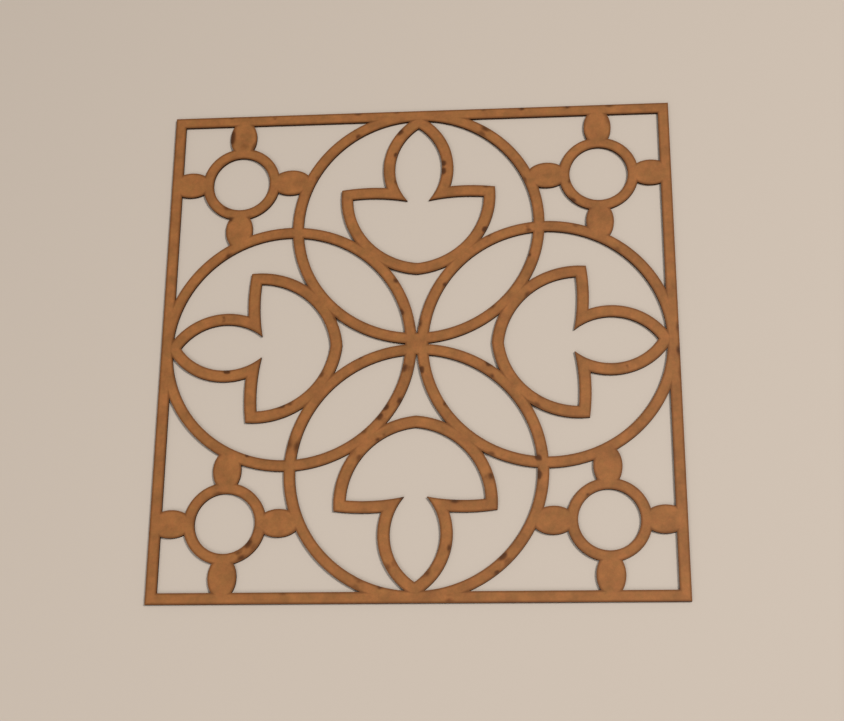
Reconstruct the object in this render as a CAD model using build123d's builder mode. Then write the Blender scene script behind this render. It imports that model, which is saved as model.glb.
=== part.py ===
from build123d import *
import math
import os

# Square fretwork panel of thin wood-fibre board, lying face up.
# Origin: centre of the square, on the back face. +X right, +Y up the panel, +Z out of the face.
# All sizes are in millimetres.

# Board and frame
panel_side = 450.0
board_thickness = 3.0
rail_width = 9.5

# Large rings: each one reaches a rail and meets the other three in the middle of the panel
ring_width = 9.7
hub_gap = 0.4
hub_flat_depth = 2.0

# Tulip outline inside each large ring, drawn here with its tip upwards
tulip_strip = 10.3
tip_clearance = 7.4
bud_arc_radius = 49.0
bud_arc_offset = 27.8
bud_to_shoulder = 18.0
shoulder_arc_radius = 177.0
shoulder_arc_offset = 42.6
shoulder_to_bowl = 9.2
bowl_arc_offset = 6.3
bowl_bite = 4.0

# Corner ring and the four oval bosses round it
corner_ring_radius = 35.2
corner_ring_width = 9.4
corner_ring_shift = 2.0
boss_breadth = 24.2
boss_let_in = 7.3

# Joints: members cross in half-laps, and one let into another stops short of its far edge
lap_level = board_thickness / 2
stop_margin = 3.0
hub_overrun = 0.05

# Places that follow from the sizes above
half_side = panel_side / 2
rail_inner = half_side - rail_width
ring_centre = half_side / 2
ring_outer = ring_centre - hub_gap / 2
ring_bore = ring_outer - ring_width
corner_bore = corner_ring_radius - corner_ring_width

# The corner ring would stand as far from the rails as from the large rings at the balanced place.
# It is moved from there towards the side rail, and as far away from the top or bottom rail.
gap_sum = 4 * rail_inner + 2 * ring_centre
balanced = (gap_sum + math.sqrt(gap_sum**2 - 20 * rail_inner**2)) / 10
corner_x = balanced + corner_ring_shift
corner_y = balanced - corner_ring_shift
corner_reach = rail_inner - balanced
boss_centre = (corner_ring_radius + corner_reach) / 2
boss_length = corner_reach - corner_ring_radius + 2 * boss_let_in

# Heights of the tulip's arcs above the middle of the panel, worked down from the top of the ring's bore
bud_tip = ring_centre + ring_bore - tip_clearance
bud_arc_height = bud_tip - math.sqrt(bud_arc_radius**2 - bud_arc_offset**2)
shoulder_top = bud_arc_height - bud_to_shoulder
bowl_arc_height = shoulder_top - shoulder_to_bowl
bowl_outer = math.hypot(ring_centre + bowl_arc_offset, bowl_arc_height) - ring_outer + bowl_bite


def rail_plan(turn):
    # One rail over the whole side of the square, at the top before it is turned
    with BuildSketch() as rail:
        with Locations((0, half_side - rail_width / 2)):
            Rectangle(panel_side, rail_width)
    return rail.sketch.rotate(Axis.Z, turn)


def ring_plan(turn):
    # One large ring, at the top before it is turned. A short flat closes the gap to the ring opposite
    # at the hub, and the ring stops short of the rail's outer edge.
    with BuildSketch() as ring:
        with Locations((0, ring_centre)):
            Circle(ring_outer)
        with Locations((0, hub_flat_depth / 2)):
            Rectangle(2 * (ring_centre - ring_bore + hub_overrun), hub_flat_depth)
        with Locations((0, ring_centre)):
            Circle(ring_bore, mode=Mode.SUBTRACT)
        Rectangle(panel_side, 2 * (half_side - stop_margin), mode=Mode.INTERSECT)
    return ring.sketch.rotate(Axis.Z, turn)


def tulip_plan(turn):
    # One tulip outline, tip upwards before it is turned: right half from three arcs, then its mirror image
    bowl = (-bowl_arc_offset, bowl_arc_height)
    shoulder = (shoulder_arc_offset, shoulder_top - shoulder_arc_radius)
    bud = (-bud_arc_offset, bud_arc_height)
    with BuildSketch() as bowl_strip:
        with Locations(bowl):
            Circle(bowl_outer)
            Circle(bowl_outer - tulip_strip, mode=Mode.SUBTRACT)
        with Locations(shoulder):
            Circle(shoulder_arc_radius, mode=Mode.INTERSECT)
    with BuildSketch() as shoulder_strip:
        with Locations(shoulder):
            Circle(shoulder_arc_radius)
            Circle(shoulder_arc_radius - tulip_strip, mode=Mode.SUBTRACT)
        with Locations(bowl):
            Circle(bowl_outer, mode=Mode.INTERSECT)
        with Locations(bud):
            Circle(bud_arc_radius, mode=Mode.SUBTRACT)
    with BuildSketch() as bud_strip:
        with Locations(bud):
            Circle(bud_arc_radius + tulip_strip)
            Circle(bud_arc_radius, mode=Mode.SUBTRACT)
        with Locations(shoulder):
            Circle(shoulder_arc_radius - tulip_strip, mode=Mode.SUBTRACT)
    with BuildSketch() as tulip:
        add(bowl_strip.sketch)
        add(shoulder_strip.sketch)
        add(bud_strip.sketch)
        Rectangle(half_side, panel_side, align=(Align.MIN, Align.CENTER), mode=Mode.INTERSECT)
        mirror(about=Plane.YZ)
        with Locations((0, ring_centre)):
            Circle(ring_bore, mode=Mode.INTERSECT)
        Rectangle(panel_side, 2 * rail_inner, mode=Mode.INTERSECT)
    return tulip.sketch.rotate(Axis.Z, turn)


def corner_ring_plan(right, up):
    # One corner ring. right and up are +1 or -1 and say which corner
    with BuildSketch() as ring:
        with Locations((right * corner_x, up * corner_y)):
            Circle(corner_ring_radius)
            Circle(corner_bore, mode=Mode.SUBTRACT)
    return ring.sketch


def boss_plan(right, up, turn):
    # One oval boss of a corner ring, above the ring before it is turned about the ring's centre.
    # It stops short of the panel's edge, of the corner ring's bore and of the large rings' bores.
    middle = (right * corner_x, up * corner_y)
    lean = math.radians(turn)
    place = (middle[0] - boss_centre * math.sin(lean), middle[1] + boss_centre * math.cos(lean))
    with BuildSketch() as boss:
        with Locations(Location(place, turn)):
            Ellipse(boss_breadth / 2, boss_length / 2)
        with Locations(middle):
            Circle(corner_bore + stop_margin, mode=Mode.SUBTRACT)
        with Locations((0, up * ring_centre), (right * ring_centre, 0)):
            Circle(ring_bore + stop_margin, mode=Mode.SUBTRACT)
        Rectangle(2 * (half_side - stop_margin), 2 * (half_side - stop_margin), mode=Mode.INTERSECT)
    return boss.sketch


# Outlines of all members in plan. Where two of them cross, the one that comes first in this list
# runs over in the upper half of the board, and the one that comes later runs under in the lower half.
sides = {"top": 0, "bottom": 180, "left": 90, "right": 270}
corners = {"top_left": (-1, 1), "top_right": (1, 1), "bottom_left": (-1, -1), "bottom_right": (1, -1)}
plan = {}
for corner, (right, up) in corners.items():
    for side, turn in sides.items():
        plan[f"boss_{corner}_{side}"] = boss_plan(right, up, turn)
for side, turn in sides.items():
    plan[f"tulip_{side}"] = tulip_plan(turn)
for side, turn in sides.items():
    plan[f"ring_{side}"] = ring_plan(turn)
for corner, (right, up) in corners.items():
    plan[f"corner_ring_{corner}"] = corner_ring_plan(right, up)
for side, turn in sides.items():
    plan[f"rail_{side}"] = rail_plan(turn)

# Each member is its outline, less what runs over it in the upper half and what runs under it in the lower
os.makedirs("parts", exist_ok=True)
names = list(plan)
for place, name in enumerate(names):
    with BuildPart() as member:
        with BuildSketch() as lower_half:
            add(plan[name])
            for under in names[place + 1:]:
                add(plan[under], mode=Mode.SUBTRACT)
        extrude(amount=lap_level)
        with BuildSketch(Plane.XY.offset(lap_level)) as upper_half:
            add(plan[name])
            for over in names[:place]:
                add(plan[over], mode=Mode.SUBTRACT)
        extrude(amount=board_thickness - lap_level)
    member.part.label = name
    export_step(member.part, f"parts/{name}.step")
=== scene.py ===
import math

import bmesh
import bpy
from mathutils import Matrix, Vector


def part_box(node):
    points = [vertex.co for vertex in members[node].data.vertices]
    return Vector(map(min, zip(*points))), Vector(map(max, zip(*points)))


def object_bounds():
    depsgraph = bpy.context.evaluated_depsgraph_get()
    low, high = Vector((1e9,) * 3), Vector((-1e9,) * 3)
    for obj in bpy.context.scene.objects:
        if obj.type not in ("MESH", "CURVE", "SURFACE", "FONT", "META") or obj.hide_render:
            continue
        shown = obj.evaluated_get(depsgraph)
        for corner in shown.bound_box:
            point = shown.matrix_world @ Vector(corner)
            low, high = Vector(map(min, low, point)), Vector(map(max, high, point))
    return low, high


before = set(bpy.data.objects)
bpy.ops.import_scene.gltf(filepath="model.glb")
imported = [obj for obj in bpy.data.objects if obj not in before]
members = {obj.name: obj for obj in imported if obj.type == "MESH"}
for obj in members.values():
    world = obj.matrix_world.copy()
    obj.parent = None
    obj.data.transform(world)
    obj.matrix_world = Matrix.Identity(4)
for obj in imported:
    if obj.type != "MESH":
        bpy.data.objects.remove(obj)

# Square fretwork panel of brown fibre board, lying face up. Metres, origin in the middle of the back face.
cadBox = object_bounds()
print("frame loaded:", len(members), "members")


# Node helpers: a value is a number or the socket that feeds it
def feed(tree, socket, value):
    if isinstance(value, bpy.types.NodeSocket):
        tree.links.new(value, socket)
    else:
        socket.default_value = value


def addNode(tree, kind, inputs=None, **settings):
    node = tree.nodes.new("ShaderNode" + kind)
    for name, value in settings.items():
        setattr(node, name, value)
    for name, value in (inputs or {}).items():
        feed(tree, node.inputs[name], value)
    return node


def maths(tree, operation, *values):
    node = tree.nodes.new("ShaderNodeMath")
    node.operation = operation
    for socket, value in zip(node.inputs, values):
        feed(tree, socket, value)
    return node.outputs[0]


def vectors(tree, operation, *values):
    node = tree.nodes.new("ShaderNodeVectorMath")
    node.operation = operation
    for socket, value in zip(node.inputs, values):
        feed(tree, socket, value)
    return node.outputs


def fold(tree, operation, values):
    # one value out of many, taken two at a time
    result = values[0]
    for value in values[1:]:
        result = maths(tree, operation, result, value)
    return result


def ramp(tree, value, start, end, low=0.0, high=1.0):
    # low at start, high at end, eased between them
    inputs = {"Value": value, "From Min": start, "From Max": end, "To Min": low, "To Max": high}
    return addNode(tree, "MapRange", inputs, interpolation_type="SMOOTHSTEP").outputs["Result"]


def mixColour(tree, share, first, second):
    node = addNode(tree, "Mix", data_type="RGBA")
    feed(tree, node.inputs["Factor"], share)
    feed(tree, node.inputs["A"], first)
    feed(tree, node.inputs["B"], second)
    return node.outputs["Result"]


def noise(tree, vector, settings):
    inputs = {"Vector": vector}
    for name in ("scale", "detail", "roughness"):
        inputs[name.capitalize()] = settings[name]
    return addNode(tree, "TexNoise", inputs).outputs


def newGroup(name, inputs, outputs):
    tree = bpy.data.node_groups.new(name, "ShaderNodeTree")
    for inOrOut, sockets in (("INPUT", inputs), ("OUTPUT", outputs)):
        for label, kind in sockets:
            tree.interface.new_socket(label, in_out=inOrOut, socket_type="NodeSocket" + kind)
    return tree, tree.nodes.new("NodeGroupInput").outputs, tree.nodes.new("NodeGroupOutput").inputs


def useGroup(tree, group, inputs):
    return addNode(tree, "Group", inputs, node_tree=group).outputs


def srgb(red, green, blue):
    # a colour as it reads on screen, 0 to 255, as the linear colour that a node takes
    linear = []
    for value in (red, green, blue):
        share = value / 255
        linear.append(share / 12.92 if share <= 0.04045 else ((share + 0.055) / 1.055) ** 2.4)
    return (*linear, 1.0)


# The cut outline, as far as the members' boxes don't give it: widths of the strips, arcs of the tulip above
# the middle of the panel, and half the width of the solid hub. The tulip's strip is taken on a little way
# into its ring, so that no rim shows where the two meet
cutPlan = {
    "ringWidth": 0.0097,
    "cornerRingWidth": 0.0094,
    "tulipStrip": 0.0103,
    "tulipRunOn": 0.003,
    "bud": {"offset": -0.0278, "height": 0.1673, "radius": 0.049},
    "shoulder": {"offset": 0.0426, "height": -0.0277, "radius": 0.177},
    "bowl": {"offset": -0.0063, "height": 0.1401, "radius": 0.0752},
    "hubReach": 0.00995,
}


def distanceTo(tree, across, up, centreAcross, centreUp):
    aside = maths(tree, "SUBTRACT", across, centreAcross)
    above = maths(tree, "SUBTRACT", up, centreUp)
    squares = maths(tree, "MULTIPLY_ADD", aside, aside, maths(tree, "MULTIPLY", above, above))
    return maths(tree, "SQRT", squares)


def depthInBand(tree, value, outer, width):
    # how deep a value lies in the band that ends at outer
    offMiddle = maths(tree, "ABSOLUTE", maths(tree, "SUBTRACT", value, outer - width / 2))
    return maths(tree, "SUBTRACT", width / 2, offMiddle)


def tulipDepth(tree, across, up, ringCentre, ringBore):
    away = {}
    for arc in ("bud", "shoulder", "bowl"):
        away[arc] = distanceTo(tree, across, up, cutPlan[arc]["offset"], cutPlan[arc]["height"])
    radius = {arc: cutPlan[arc]["radius"] for arc in away}
    strip = cutPlan["tulipStrip"]
    bowlStrip = fold(tree, "MINIMUM", [
        depthInBand(tree, away["bowl"], radius["bowl"], strip),
        maths(tree, "SUBTRACT", radius["shoulder"], away["shoulder"]),
    ])
    shoulderStrip = fold(tree, "MINIMUM", [
        depthInBand(tree, away["shoulder"], radius["shoulder"], strip),
        maths(tree, "SUBTRACT", radius["bowl"], away["bowl"]),
        maths(tree, "SUBTRACT", away["bud"], radius["bud"]),
    ])
    budStrip = fold(tree, "MINIMUM", [
        depthInBand(tree, away["bud"], radius["bud"] + strip, strip),
        maths(tree, "SUBTRACT", away["shoulder"], radius["shoulder"] - strip),
    ])
    fromRing = distanceTo(tree, across, up, 0.0, ringCentre)
    inRing = maths(tree, "SUBTRACT", ringBore + cutPlan["tulipRunOn"], fromRing)
    strips = fold(tree, "MAXIMUM", [bowlStrip, shoulderStrip, budStrip])
    return maths(tree, "MINIMUM", strips, inRing)


def makeCutEdgeGroup():
    # Depth is how far a point of the face lies inside the nearest cut edge. The plan is the same in each
    # quarter, and but for the corner rings on each side of the diagonal.
    halfSide = cadBox[1].x
    railLow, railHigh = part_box("rail_top")
    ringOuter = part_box("ring_top")[1].x
    cornerLow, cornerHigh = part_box("corner_ring_top_right")
    corner = (cornerLow + cornerHigh) / 2
    cornerRadius = (cornerHigh.x - cornerLow.x) / 2
    bossLow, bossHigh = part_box("boss_top_right_top")
    bossMiddle = (cornerRadius + railLow.y - (corner.x + corner.y) / 2) / 2
    bossHalfBreadth = (bossHigh.x - bossLow.x) / 2
    bossHalfLength = bossHigh.y - corner.y - bossMiddle
    ringCentre = halfSide / 2
    ringWidth = cutPlan["ringWidth"]

    tree, given, result = newGroup("cutEdgeDepth", [("Position", "Vector")], [("Depth", "Float")])
    axes = addNode(tree, "SeparateXYZ", {"Vector": given["Position"]}).outputs
    across = maths(tree, "ABSOLUTE", axes["X"])
    up = maths(tree, "ABSOLUTE", axes["Y"])
    near = maths(tree, "MINIMUM", across, up)
    far = maths(tree, "MAXIMUM", across, up)

    fromBossX = maths(tree, "ABSOLUTE", maths(tree, "SUBTRACT", across, corner.x))
    fromBossY = maths(tree, "ABSOLUTE", maths(tree, "SUBTRACT", up, corner.y))
    beside = maths(tree, "DIVIDE", maths(tree, "MINIMUM", fromBossX, fromBossY), bossHalfBreadth)
    along = maths(tree, "SUBTRACT", maths(tree, "MAXIMUM", fromBossX, fromBossY), bossMiddle)
    ovalShare = distanceTo(tree, beside, maths(tree, "DIVIDE", along, bossHalfLength), 0.0, 0.0)
    boss = maths(tree, "MULTIPLY", maths(tree, "SUBTRACT", 1.0, ovalShare), bossHalfBreadth)

    ownRing = distanceTo(tree, near, far, 0.0, ringCentre)
    crossRing = distanceTo(tree, near, far, ringCentre, 0.0)
    cornerRing = distanceTo(tree, across, up, corner.x, corner.y)
    parts = [
        depthInBand(tree, far, halfSide, railHigh.y - railLow.y),
        depthInBand(tree, ownRing, ringOuter, ringWidth),
        depthInBand(tree, crossRing, ringOuter, ringWidth),
        depthInBand(tree, cornerRing, cornerRadius, cutPlan["cornerRingWidth"]),
        boss,
        tulipDepth(tree, near, far, ringCentre, ringOuter - ringWidth),
        maths(tree, "SUBTRACT", cutPlan["hubReach"], far),
    ]
    toOuterEdge = maths(tree, "SUBTRACT", halfSide, far)
    deepest = fold(tree, "MAXIMUM", parts)
    feed(tree, result["Depth"], maths(tree, "MINIMUM", deepest, toOuterEdge))
    return tree


cutEdgeDepth = makeCutEdgeGroup()
print("cut edge group:", len(cutEdgeDepth.nodes), "nodes")


# Scorch along the cut edges. Rim is how far it reaches in everywhere. Where the beam lingered it reaches
# further, at listed marks: place across and up the panel, radius of the spot, reach from the edge.
# A mark with the first reach of markFrom doesn't show, and one with the second is at full strength.
# Spread takes the spots a little beyond their radius, and wander makes their outlines uneven
scorch = {
    "marks": [
        (-0.1733, 0.2242, 0.0025, 0.0025), (-0.1552, 0.2242, 0.0025, 0.0020),
        (-0.1330, 0.2215, 0.0028, 0.0040), (-0.0559, 0.2240, 0.0040, 0.0030),
        (-0.0205, 0.2242, 0.0030, 0.0025), (-0.1720, 0.2040, 0.0085, 0.0060),
        (-0.1505, 0.1940, 0.0050, 0.0025), (-0.1605, 0.1965, 0.0060, 0.0095),
        (-0.0559, 0.2025, 0.0040, 0.0050), (-0.0164, 0.2037, 0.0050, 0.0050),
        (-0.0212, 0.1812, 0.0035, 0.0045), (-0.0205, 0.1544, 0.0035, 0.0030),
        (-0.1700, 0.0870, 0.0050, 0.0035), (-0.1790, 0.1790, 0.0045, 0.0016),
        (-0.1741, 0.1323, 0.0050, 0.0030), (-0.1695, 0.1220, 0.0040, 0.0040),
        (-0.1528, 0.1249, 0.0035, 0.0018), (-0.0920, 0.1610, 0.0030, 0.0025),
        (-0.0200, 0.0588, 0.0040, 0.0045), (-0.0140, 0.0296, 0.0045, 0.0045),
        (-0.1709, 0.0263, 0.0030, 0.0060), (-0.0715, 0.0255, 0.0030, 0.0025),
        (0.0591, 0.2240, 0.0025, 0.0025), (0.0936, 0.2240, 0.0035, 0.0040),
        (0.1347, 0.2242, 0.0040, 0.0035), (0.1725, 0.2240, 0.0040, 0.0030),
        (0.1670, 0.2090, 0.0060, 0.0030), (0.0590, 0.2030, 0.0060, 0.0050),
        (0.0235, 0.1720, 0.0035, 0.0070), (0.0235, 0.1640, 0.0040, 0.0065),
        (0.0220, 0.2060, 0.0035, 0.0050), (0.0960, 0.1536, 0.0035, 0.0030),
        (0.0608, 0.1479, 0.0030, 0.0030), (0.0590, 0.1062, 0.0035, 0.0060),
        (0.0975, 0.1060, 0.0040, 0.0055), (0.0632, 0.1002, 0.0030, 0.0030),
        (0.1347, 0.1503, 0.0025, 0.0030), (0.1370, 0.1314, 0.0045, 0.0045),
        (0.1388, 0.1060, 0.0030, 0.0030), (0.1758, 0.0854, 0.0045, 0.0035),
        (0.0983, 0.0805, 0.0030, 0.0040), (0.0955, 0.0445, 0.0050, 0.0035),
        (0.0240, 0.0542, 0.0035, 0.0040), (0.0657, 0.0325, 0.0040, 0.0030),
        (0.0018, 0.0185, 0.0060, 0.0035), (0.2248, 0.0099, 0.0060, 0.0030),
        (-0.1659, -0.0225, 0.0035, 0.0060), (-0.1166, -0.0535, 0.0050, 0.0050),
        (-0.1084, -0.0535, 0.0040, 0.0035), (-0.1042, -0.0900, 0.0075, 0.0040),
        (-0.1446, -0.0982, 0.0025, 0.0045), (-0.0813, -0.0271, 0.0050, 0.0035),
        (-0.0493, -0.0110, 0.0030, 0.0035), (-0.0085, -0.0222, 0.0045, 0.0060),
        (-0.0148, -0.0509, 0.0045, 0.0045), (-0.0258, -0.0570, 0.0045, 0.0055),
        (-0.0300, -0.0665, 0.0045, 0.0060), (-0.0330, -0.0850, 0.0035, 0.0040),
        (-0.0279, -0.0805, 0.0030, 0.0035), (-0.0435, -0.0790, 0.0045, 0.0030),
        (-0.0500, -0.1000, 0.0050, 0.0045), (-0.1385, -0.1755, 0.0055, 0.0060),
        (-0.1465, -0.1845, 0.0055, 0.0050), (-0.1676, -0.1306, 0.0050, 0.0025),
        (-0.1093, -0.2158, 0.0035, 0.0025), (-0.0476, -0.2086, 0.0050, 0.0035),
        (-0.0197, -0.1939, 0.0050, 0.0045), (-0.0115, -0.1364, 0.0030, 0.0040),
        (0.0050, -0.0235, 0.0040, 0.0070), (0.0616, -0.0200, 0.0035, 0.0045),
        (0.0657, -0.0296, 0.0040, 0.0040), (0.0246, -0.0555, 0.0035, 0.0035),
        (0.1035, -0.0555, 0.0060, 0.0035), (0.1799, -0.0246, 0.0022, 0.0060),
        (0.2240, -0.0107, 0.0060, 0.0040), (0.2220, -0.0310, 0.0055, 0.0020),
        (0.1038, -0.1045, 0.0045, 0.0065), (0.1035, -0.1180, 0.0050, 0.0065),
        (0.0615, -0.1190, 0.0045, 0.0060), (0.0649, -0.0986, 0.0040, 0.0035),
        (0.0329, -0.1400, 0.0060, 0.0040), (0.0279, -0.1790, 0.0045, 0.0040),
        (0.0115, -0.2021, 0.0050, 0.0035), (-0.0285, -0.2120, 0.0035, 0.0035),
        (0.0745, -0.1885, 0.0055, 0.0060), (0.0674, -0.2000, 0.0030, 0.0040),
        (0.1430, -0.1355, 0.0025, 0.0035), (0.0288, -0.2210, 0.0050, 0.0035),
    ],
    "rim": 0.0026,
    "rimUnevenness": (0.5, 1.5),
    "markFrom": (0.0002, 0.0042),
    "spread": 1.4,
    "wander": 0.0016,
    "wanderNoise": {"scale": 240.0, "detail": 2.0, "roughness": 0.5},
}


def makeScorchGroup():
    # Burn is 1 at the cut edge and fades to 0 where the scorch ends. Mark is 0 away from the marks and
    # up to 1 in the middle of one
    inputs = [("Position", "Vector"), ("Depth", "Float"), ("Rim", "Float"), ("Ragged", "Float")]
    tree, given, result = newGroup("scorchFromCutEdge", inputs, [("Burn", "Float"), ("Mark", "Float")])
    onFace = vectors(tree, "MULTIPLY", given["Position"], (1.0, 1.0, 0.0))["Vector"]
    cloud = noise(tree, given["Position"], scorch["wanderNoise"])["Color"]
    centred = vectors(tree, "SUBTRACT", cloud, (0.5, 0.5, 0.5))["Vector"]
    amount = (2 * scorch["wander"], 2 * scorch["wander"], 0.0)
    wandered = vectors(tree, "MULTIPLY_ADD", centred, amount, onFace)["Vector"]
    reaches = []
    for across, up, radius, reach in scorch["marks"]:
        away = vectors(tree, "DISTANCE", wandered, (across, up, 0.0))["Value"]
        reaches.append(ramp(tree, away, scorch["spread"] * radius, 0.0, 0.0, reach))
    least, most = scorch["rimUnevenness"]
    ragged = maths(tree, "MULTIPLY_ADD", given["Ragged"], most - least, least)
    rim = maths(tree, "MULTIPLY", given["Rim"], ragged)
    markReach = fold(tree, "MAXIMUM", reaches)
    share = maths(tree, "DIVIDE", given["Depth"], maths(tree, "ADD", markReach, rim))
    feed(tree, result["Burn"], ramp(tree, share, 1.0, 0.0))
    feed(tree, result["Mark"], ramp(tree, markReach, *scorch["markFrom"]))
    return tree


scorchFromCutEdge = makeScorchGroup()
print("scorch group:", len(scorch["marks"]), "marks")


# Mottling of the face: broad patches of lighter and darker tone, smaller ones of warmer hue, read from
# another part of the noise, and fine grain
mottling = {
    "light": {"scale": 55.0, "detail": 6.0, "roughness": 0.75},
    "warm": {"scale": 120.0, "detail": 5.0, "roughness": 0.8},
    "warmRange": (0.2, 0.8),
    "warmShift": (3.1, 1.7, 0.4),
    "grain": {"scale": 1100.0, "detail": 3.0, "roughness": 0.65},
}


def makeMottleGroup():
    # Light is above or below 0 where the face is lighter or darker, Warm and Grain go from 0 to 1
    outputs = [("Light", "Float"), ("Warm", "Float"), ("Grain", "Float")]
    tree, given, result = newGroup("boardMottle", [("Position", "Vector")], outputs)
    broad = noise(tree, given["Position"], mottling["light"])["Fac"]
    shifted = vectors(tree, "ADD", given["Position"], mottling["warmShift"])["Vector"]
    warmth = noise(tree, shifted, mottling["warm"])["Fac"]
    grain = noise(tree, given["Position"], mottling["grain"])["Fac"]
    feed(tree, result["Light"], maths(tree, "SUBTRACT", broad, 0.5))
    feed(tree, result["Warm"], ramp(tree, warmth, *mottling["warmRange"]))
    feed(tree, result["Grain"], grain)
    return tree


boardMottle = makeMottleGroup()
print("mottle group:", len(boardMottle.nodes), "nodes")


# Finish of the board: smooth brown face, toasted rim, scorched marks, and a charred wall with upright
# streaks where the beam went through. A surface goes from face to wall as the upward part of its normal
# falls from the first to the second value of wallFrom. Each shade comes in over its own part of the burn
board = {
    "faceWarm": srgb(161, 100, 54),
    "faceDull": srgb(142, 95, 49),
    "toasted": srgb(98, 54, 18),
    "scorched": srgb(53, 28, 9),
    "char": srgb(46, 25, 8),
    "charLight": srgb(82, 48, 19),
    "wallFrom": (0.7, 0.5),
    "rimShade": 0.68,
    "rimFade": (0.0, 1.0),
    "markShade": 0.95,
    "markFade": (0.0, 0.8),
    "darkShade": 0.6,
    "darkFade": (0.5, 1.0),
    "lightSpread": 1.15,
    "grainSpread": 0.28,
    "faceRoughness": 0.6,
    "wallRoughness": 0.9,
    "gloss": 0.2,
    "streak": {"scale": 1700.0, "detail": 3.0, "roughness": 0.6},
    "streakStretch": 0.08,
    "streakRange": (0.35, 0.7),
    "bumpStrength": 0.25,
    "bumpHeight": 0.0002,
}


def makeBoardMaterial():
    material = bpy.data.materials.new("scorchedFibreBoard")
    material.use_nodes = True
    tree = material.node_tree
    tree.nodes.clear()
    place = addNode(tree, "TexCoord").outputs["Object"]
    facing = addNode(tree, "NewGeometry").outputs["True Normal"]
    upward = addNode(tree, "SeparateXYZ", {"Vector": facing}).outputs["Z"]
    onWall = ramp(tree, maths(tree, "ABSOLUTE", upward), *board["wallFrom"])
    depth = useGroup(tree, cutEdgeDepth, {"Position": place})["Depth"]
    mottle = useGroup(tree, boardMottle, {"Position": place})
    scorchHere = useGroup(tree, scorchFromCutEdge, {
        "Position": place,
        "Depth": depth,
        "Rim": scorch["rim"],
        "Ragged": mottle["Grain"],
    })
    burn = scorchHere["Burn"]
    mark = scorchHere["Mark"]

    light = maths(tree, "MULTIPLY_ADD", mottle["Light"], board["lightSpread"], 1.0)
    speckle = maths(tree, "SUBTRACT", mottle["Grain"], 0.5)
    light = maths(tree, "MULTIPLY_ADD", speckle, board["grainSpread"], light)
    face = mixColour(tree, mottle["Warm"], board["faceDull"], board["faceWarm"])
    face = addNode(tree, "VectorMath", {0: face, "Scale": light}, operation="SCALE").outputs[0]
    rimShade = ramp(tree, burn, *board["rimFade"], 0.0, board["rimShade"])
    markShade = ramp(tree, burn, *board["markFade"], 0.0, board["markShade"])
    markShade = maths(tree, "MULTIPLY", markShade, mark)
    face = mixColour(tree, maths(tree, "MAXIMUM", rimShade, markShade), face, board["toasted"])
    darkShade = ramp(tree, burn, *board["darkFade"], 0.0, board["darkShade"])
    darkShade = maths(tree, "MULTIPLY", darkShade, mark)
    face = mixColour(tree, darkShade, face, board["scorched"])

    upright = vectors(tree, "MULTIPLY", place, (1.0, 1.0, board["streakStretch"]))["Vector"]
    streak = noise(tree, upright, board["streak"])["Fac"]
    wall = mixColour(tree, ramp(tree, streak, *board["streakRange"]), board["char"], board["charLight"])
    colour = mixColour(tree, onWall, face, wall)
    rough = addNode(tree, "Mix", {
        "Factor": onWall,
        "A": board["faceRoughness"],
        "B": board["wallRoughness"],
    })
    height = addNode(tree, "Mix", {"Factor": onWall, "A": mottle["Grain"], "B": streak})
    bump = addNode(tree, "Bump", {
        "Height": height.outputs["Result"],
        "Strength": board["bumpStrength"],
        "Distance": board["bumpHeight"],
    })
    shader = addNode(tree, "BsdfPrincipled", {
        "Base Color": colour,
        "Roughness": rough.outputs["Result"],
        "Normal": bump.outputs["Normal"],
        "Specular IOR Level": board["gloss"],
    })
    addNode(tree, "OutputMaterial", {"Surface": shader.outputs["BSDF"]})
    return material


boardMaterial = makeBoardMaterial()
for member in members.values():
    member.data.materials.clear()
    member.data.materials.append(boardMaterial)
print("board finish on", len(members), "members")


# Plain pale floor, a tenth of a millimetre under the panel
floor = {
    "halfSide": 4.0,
    "drop": 0.0001,
    "colour": srgb(203, 189, 175),
    "roughness": 0.6,
    "gloss": 0.2,
}


def makeFloor():
    mesh = bmesh.new()
    bmesh.ops.create_grid(mesh, x_segments=1, y_segments=1, size=floor["halfSide"])
    bmesh.ops.translate(mesh, verts=mesh.verts, vec=(0.0, 0.0, cadBox[0].z - floor["drop"]))
    data = bpy.data.meshes.new("floor")
    mesh.to_mesh(data)
    mesh.free()
    plane = bpy.data.objects.new("floor", data)
    bpy.context.scene.collection.objects.link(plane)
    material = bpy.data.materials.new("paleFloor")
    material.use_nodes = True
    shader = material.node_tree.nodes["Principled BSDF"]
    shader.inputs["Base Color"].default_value = floor["colour"]
    shader.inputs["Roughness"].default_value = floor["roughness"]
    shader.inputs["Specular IOR Level"].default_value = floor["gloss"]
    data.materials.append(material)


makeFloor()

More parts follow.
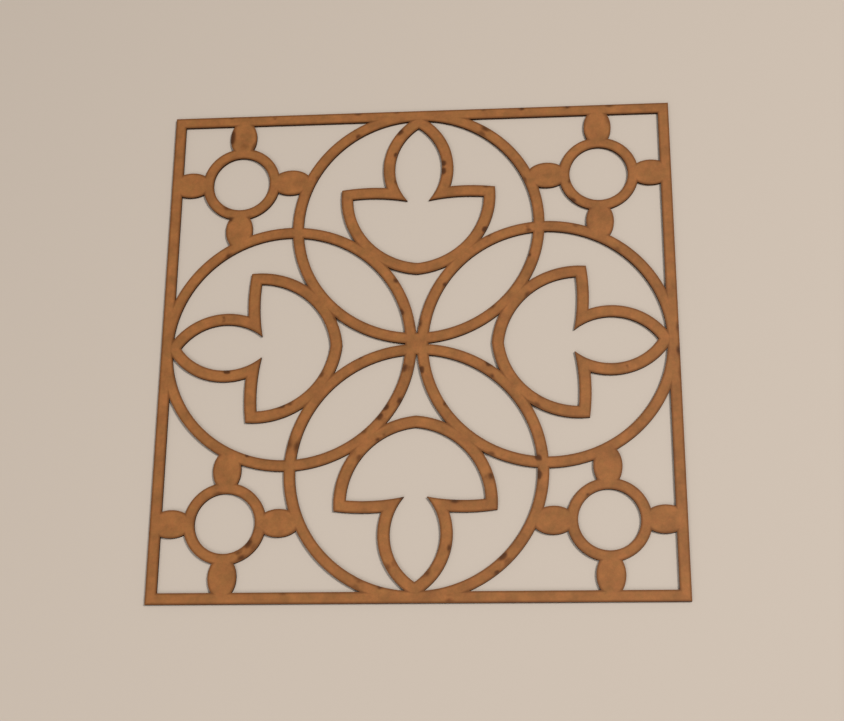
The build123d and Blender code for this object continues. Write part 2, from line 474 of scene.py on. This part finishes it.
# Soft light from above the right side, a weaker one from the near left, and an even world. Together they
# light the panel so that a colour shows about as it is written
lamps = {
    "key": {"at": (1.95, 0.5, 3.8), "size": 1.0, "watts": 124.0, "colour": (1.0, 0.99, 0.97)},
    "fill": {"at": (-0.5, -1.1, 1.5), "size": 1.3, "watts": 9.4, "colour": (1.0, 1.0, 1.0)},
}


def makeLamps():
    for name, lamp in lamps.items():
        data = bpy.data.lights.new(name, "AREA")
        data.size = lamp["size"]
        data.energy = lamp["watts"]
        data.color = lamp["colour"]
        light = bpy.data.objects.new(name, data)
        light.location = lamp["at"]
        light.rotation_euler = (-Vector(lamp["at"])).to_track_quat("-Z", "Y").to_euler()
        bpy.context.scene.collection.objects.link(light)


# The world gives a dim white light, and past the floor the camera sees it as a pale backdrop
world = {
    "light": (0.24, 0.24, 0.24, 1.0),
    "seen": srgb(196, 183, 170),
}


def makeWorld():
    surroundings = bpy.data.worlds.new("evenWorld")
    surroundings.use_nodes = True
    tree = surroundings.node_tree
    seen = addNode(tree, "LightPath").outputs["Is Camera Ray"]
    colour = mixColour(tree, seen, world["light"], world["seen"])
    feed(tree, tree.nodes["Background"].inputs["Color"], colour)
    bpy.context.scene.world = surroundings


makeLamps()
makeWorld()

# Camera above the near side, a little to the right
camera = {
    "at": (0.1149, -0.4369, 1.2385),
    "aim": (0.0047, -0.0156, 0.003),
    "turn": math.radians(-0.5),
    "lens": 64.83,
    "sensor": 36.0,
    "nearest": 0.01,
}


def makeCamera():
    data = bpy.data.cameras.new("camera")
    data.lens = camera["lens"]
    data.sensor_width = camera["sensor"]
    data.sensor_fit = "HORIZONTAL"
    data.clip_start = camera["nearest"]
    forward = (Vector(camera["aim"]) - Vector(camera["at"])).normalized()
    level = forward.cross(Vector((0.0, 1.0, 0.0))).normalized()
    right = Matrix.Rotation(camera["turn"], 3, forward) @ level
    upright = right.cross(forward)
    eye = bpy.data.objects.new("camera", data)
    turned = Matrix((right, upright, -forward)).transposed().to_4x4()
    eye.matrix_world = Matrix.Translation(camera["at"]) @ turned
    bpy.context.scene.collection.objects.link(eye)
    bpy.context.scene.camera = eye


makeCamera()
bpy.context.scene.view_settings.view_transform = "Standard"
print("floor, lights and camera made")
